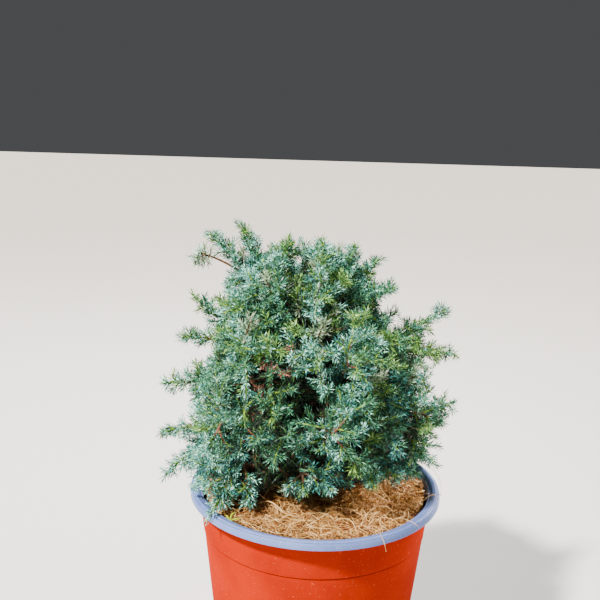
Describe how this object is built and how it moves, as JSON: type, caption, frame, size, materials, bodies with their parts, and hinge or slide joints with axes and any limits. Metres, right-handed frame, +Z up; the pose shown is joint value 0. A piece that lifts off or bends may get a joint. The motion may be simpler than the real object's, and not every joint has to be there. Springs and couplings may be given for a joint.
{
  "type": "potted dwarf conifer",
  "caption": "Dwarf conifer with a dense dome of fine needle foliage on a short leaning trunk, in a tapered two-tone nursery pot with a rolled lip, mulched with coir.",
  "frame": {"origin": "centre of the pot's flat underside", "axes": "+Z up along the pot's axis, -Y towards the side that the plant shows in front"},
  "size_m": [0.229, 0.2027, 0.347],
  "materials": {
    "pot_outer_plastic": "orange-red moulded polypropylene, satin, scuffed",
    "pot_inner_plastic": "blue-grey moulded polypropylene, satin",
    "growing_mix": "dark moist bark and peat",
    "coir_fibre": "loose curly golden-brown coconut fibre",
    "bark": "thin flaking red-brown bark",
    "needle_foliage": "silvery blue-green needles with yellow-green young shoots"
  },
  "bodies": {
    "root": {"pot_body": "pot_outer_plastic", "pot_lining": "pot_inner_plastic", "growing_mix": "growing_mix", "coir_mat": "coir_fibre", "trunk": "bark", "bough_skirt_1": "bark", "foliage_skirt_1": "needle_foliage", "bough_skirt_2": "bark", "foliage_skirt_2": "needle_foliage", "bough_skirt_3": "bark", "foliage_skirt_3": "needle_foliage", "bough_skirt_4": "bark", "foliage_skirt_4": "needle_foliage", "bough_skirt_5": "bark", "foliage_skirt_5": "needle_foliage", "bough_skirt_6": "bark", "foliage_skirt_6": "needle_foliage", "bough_skirt_7": "bark", "foliage_skirt_7": "needle_foliage", "bough_shoulder_1": "bark", "foliage_shoulder_1": "needle_foliage", "bough_shoulder_2": "bark", "foliage_shoulder_2": "needle_foliage", "bough_shoulder_3": "bark", "foliage_shoulder_3": "needle_foliage", "bough_shoulder_4": "bark", "foliage_shoulder_4": "needle_foliage", "bough_shoulder_5": "bark", "foliage_shoulder_5": "needle_foliage", "bough_shoulder_6": "bark", "foliage_shoulder_6": "needle_foliage", "bough_upper_1": "bark", "foliage_upper_1": "needle_foliage", "bough_upper_2": "bark", "foliage_upper_2": "needle_foliage", "bough_upper_3": "bark", "foliage_upper_3": "needle_foliage", "bough_upper_4": "bark", "foliage_upper_4": "needle_foliage", "bough_upper_5": "bark", "foliage_upper_5": "needle_foliage", "bough_top_1": "bark", "foliage_top_1": "needle_foliage", "bough_top_2": "bark", "foliage_top_2": "needle_foliage", "bough_top_3": "bark", "foliage_top_3": "needle_foliage"}
  },
  "joints": []
}
